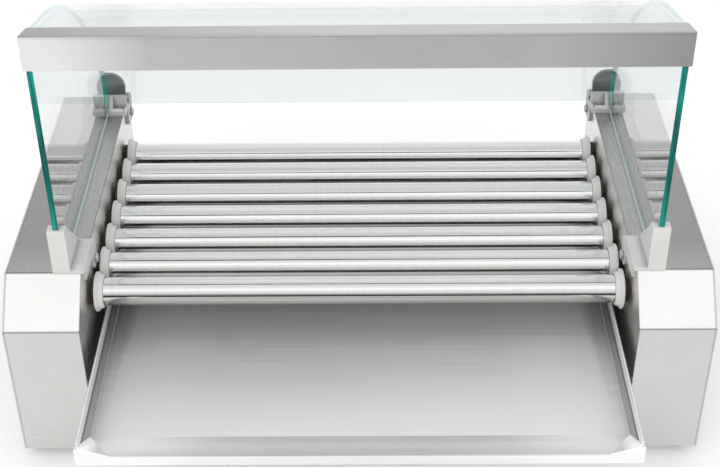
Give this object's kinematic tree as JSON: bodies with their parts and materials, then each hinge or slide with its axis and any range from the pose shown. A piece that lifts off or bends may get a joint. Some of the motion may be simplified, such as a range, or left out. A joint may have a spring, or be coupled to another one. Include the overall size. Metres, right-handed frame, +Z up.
{
  "type": "hot dog roller grill",
  "caption": "Counter-top hot dog grill: heated steel rollers turned by a chain between two stainless housings, a lift-off curved glass guard and a pull-out drip tray.",
  "frame": {"origin": "centre of the underside of the base pan, 11 mm above the counter the feet stand on", "axes": "+X to the right seen from the tray side, +Y towards the curved glass (customer side), +Z up"},
  "size_m": [0.5973, 0.427, 0.392],
  "materials": {
    "sheet": "brushed",
    "polished": "polished",
    "cap": "moulded heat-resistant polymer",
    "bracket": "moulded heat-resistant polymer",
    "black_plastic": "fine grain",
    "rubber": "matte",
    "glass": "clear, green at the cut edges",
    "zinc": "zinc plated",
    "bronze": "sintered bronze",
    "heater": "sheathed element",
    "motor": "die-cast housing",
    "dial": "satin",
    "lamp": "translucent",
    "rocker_plastic": "gloss",
    "screw": "machined"
  },
  "bodies": {
    "chassis": {"base_pan": "sheet", "left_inner_panel": "sheet", "right_inner_panel": "sheet", "left_housing_cover": "sheet", "right_housing_cover": "sheet", "left_side_plate": "sheet", "right_side_plate": "sheet", "front_cross_panel": "sheet", "rear_cross_panel": "sheet", "rubber_feet": "rubber", "foot_screws": "screw", "tray_runners": "sheet", "roller_bushings": "bronze", "heater_rods": "heater", "heater_brackets": "zinc", "motor_bracket": "zinc", "gear_motor": "motor", "drive_chain": "zinc", "left_front_glass_bracket": "bracket", "right_front_glass_bracket": "bracket", "left_rear_glass_bracket": "bracket", "right_rear_glass_bracket": "bracket", "bracket_screws": "screw", "housing_screws": "screw", "thermostats": "zinc", "thermostat_dials": "dial", "pilot_lights": "lamp", "switch_body": "black_plastic", "terminal_block": "black_plastic", "power_inlet": "black_plastic"},
    "tray": {"drip_tray": "sheet"},
    "guard": {"curved_glass": "glass", "left_side_glass": "glass", "right_side_glass": "glass", "top_rail": "sheet"},
    "front_knob": {"front_thermostat_knob": "black_plastic"},
    "rear_knob": {"rear_thermostat_knob": "black_plastic"},
    "rocker": {"switch_rocker": "rocker_plastic"},
    "motor_drive": {"motor_sprocket": "zinc"},
    "roller_1": {"roller_1_tube": "polished", "roller_1_end_caps": "cap", "roller_1_sprocket": "zinc"},
    "roller_2": {"roller_2_tube": "polished", "roller_2_end_caps": "cap", "roller_2_sprocket": "zinc"},
    "roller_3": {"roller_3_tube": "polished", "roller_3_end_caps": "cap", "roller_3_sprocket": "zinc"},
    "roller_4": {"roller_4_tube": "polished", "roller_4_end_caps": "cap", "roller_4_sprocket": "zinc"},
    "roller_5": {"roller_5_tube": "polished", "roller_5_end_caps": "cap", "roller_5_sprocket": "zinc"},
    "roller_6": {"roller_6_tube": "polished", "roller_6_end_caps": "cap", "roller_6_sprocket": "zinc"},
    "roller_7": {"roller_7_tube": "polished", "roller_7_end_caps": "cap", "roller_7_sprocket": "zinc"}
  },
  "joints": [
    {"name": "roller_1_spin", "type": "hinge", "parent": "chassis", "child": "roller_1", "pos_m": [0, -0.103, 0.127], "axis": [1, 0, 0], "continuous": true},
    {"name": "roller_2_spin", "type": "hinge", "parent": "chassis", "child": "roller_2", "pos_m": [0, -0.0676, 0.127], "axis": [1, 0, 0], "continuous": true},
    {"name": "roller_3_spin", "type": "hinge", "parent": "chassis", "child": "roller_3", "pos_m": [0, -0.0322, 0.127], "axis": [1, 0, 0], "continuous": true},
    {"name": "roller_4_spin", "type": "hinge", "parent": "chassis", "child": "roller_4", "pos_m": [0, 0.0032, 0.127], "axis": [1, 0, 0], "continuous": true},
    {"name": "roller_5_spin", "type": "hinge", "parent": "chassis", "child": "roller_5", "pos_m": [0, 0.0386, 0.127], "axis": [1, 0, 0], "continuous": true},
    {"name": "roller_6_spin", "type": "hinge", "parent": "chassis", "child": "roller_6", "pos_m": [0, 0.074, 0.127], "axis": [1, 0, 0], "continuous": true},
    {"name": "roller_7_spin", "type": "hinge", "parent": "chassis", "child": "roller_7", "pos_m": [0, 0.1094, 0.127], "axis": [1, 0, 0], "continuous": true},
    {"name": "motor_spin", "type": "hinge", "parent": "chassis", "child": "motor_drive", "pos_m": [-0.2386, 0.0032, 0.0606], "axis": [1, 0, 0], "continuous": true},
    {"name": "tray_slide", "type": "slide", "parent": "chassis", "child": "tray", "axis": [0, -1, 0], "range_m": [-0.085, 0.19]},
    {"name": "guard_lift", "type": "slide", "parent": "chassis", "child": "guard", "axis": [0, 0, 1], "range_m": [0, 0.12]},
    {"name": "front_thermostat_turn", "type": "hinge", "parent": "chassis", "child": "front_knob", "pos_m": [0.29, -0.066, 0.077], "axis": [1, 0, 0], "range_deg": [-300, 0]},
    {"name": "rear_thermostat_turn", "type": "hinge", "parent": "chassis", "child": "rear_knob", "pos_m": [0.29, 0.002, 0.077], "axis": [1, 0, 0], "range_deg": [-300, 0]},
    {"name": "rocker_tilt", "type": "hinge", "parent": "chassis", "child": "rocker", "pos_m": [0.288, 0.058, 0.081], "axis": [0, 1, 0], "range_deg": [-19.6, 0]}
  ],
  "couplings": [
    {"joint": "roller_2_spin", "follows": "roller_1_spin", "ratio": 1},
    {"joint": "roller_3_spin", "follows": "roller_1_spin", "ratio": 1},
    {"joint": "roller_4_spin", "follows": "roller_1_spin", "ratio": 1},
    {"joint": "roller_5_spin", "follows": "roller_1_spin", "ratio": 1},
    {"joint": "roller_6_spin", "follows": "roller_1_spin", "ratio": 1},
    {"joint": "roller_7_spin", "follows": "roller_1_spin", "ratio": 1},
    {"joint": "motor_spin", "follows": "roller_1_spin", "ratio": 1}
  ]
}
